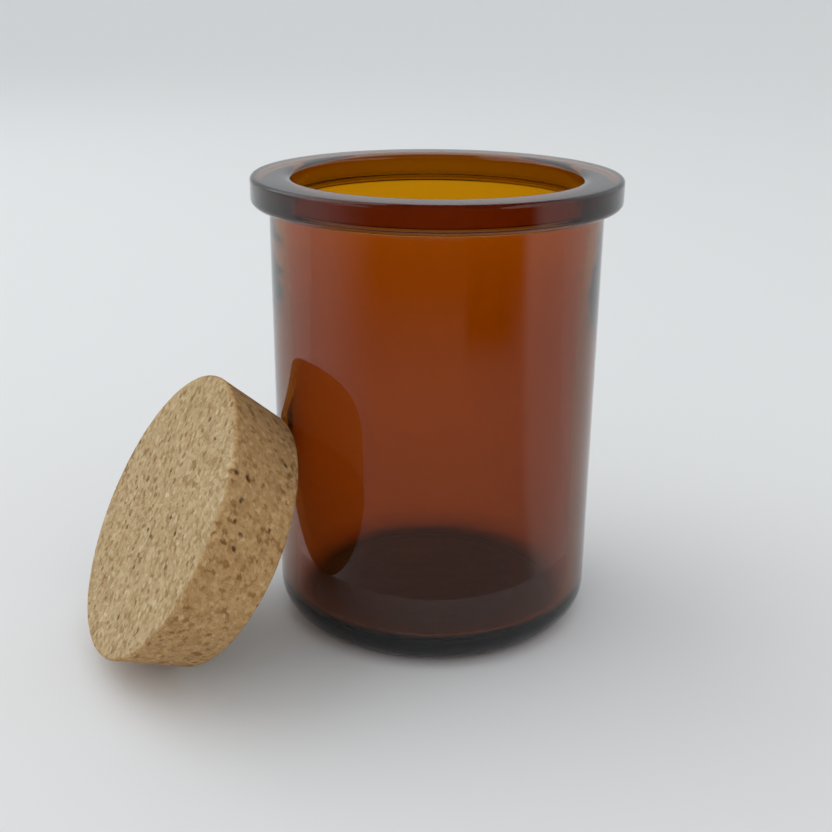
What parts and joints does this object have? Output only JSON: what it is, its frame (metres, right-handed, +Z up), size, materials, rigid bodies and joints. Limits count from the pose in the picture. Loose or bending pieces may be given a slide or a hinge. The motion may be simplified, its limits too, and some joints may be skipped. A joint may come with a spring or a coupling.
{
  "type": "apothecary jar",
  "caption": "Straight-sided amber glass apothecary jar with a flat flanged rim, and its tapered cork stopper, which leans on it and lifts away.",
  "frame": {"origin": "centre of the jar's flat base, on the jar's axis, in the plane that the jar and the stopper stand on", "axes": "+Z up along the jar's axis, out of the mouth; -Y is the front; the stopper stands at the jar's left, -X, and a little in front"},
  "size_m": [0.1337, 0.1104, 0.114],
  "materials": {
    "amber_glass": "clear polished amber glass, moulded",
    "agglomerated_cork": "matte agglomerated cork, fine tan granules with dark flecks"
  },
  "bodies": {
    "jar": {"glass_jar": "amber_glass"},
    "stopper": {"cork_stopper": "agglomerated_cork"}
  },
  "joints": [
    {"name": "stopper_lift", "type": "slide", "parent": "jar", "child": "stopper", "axis": [-0.2364, -0.1053, 0.9659], "range_m": [0, 0.13]}
  ]
}
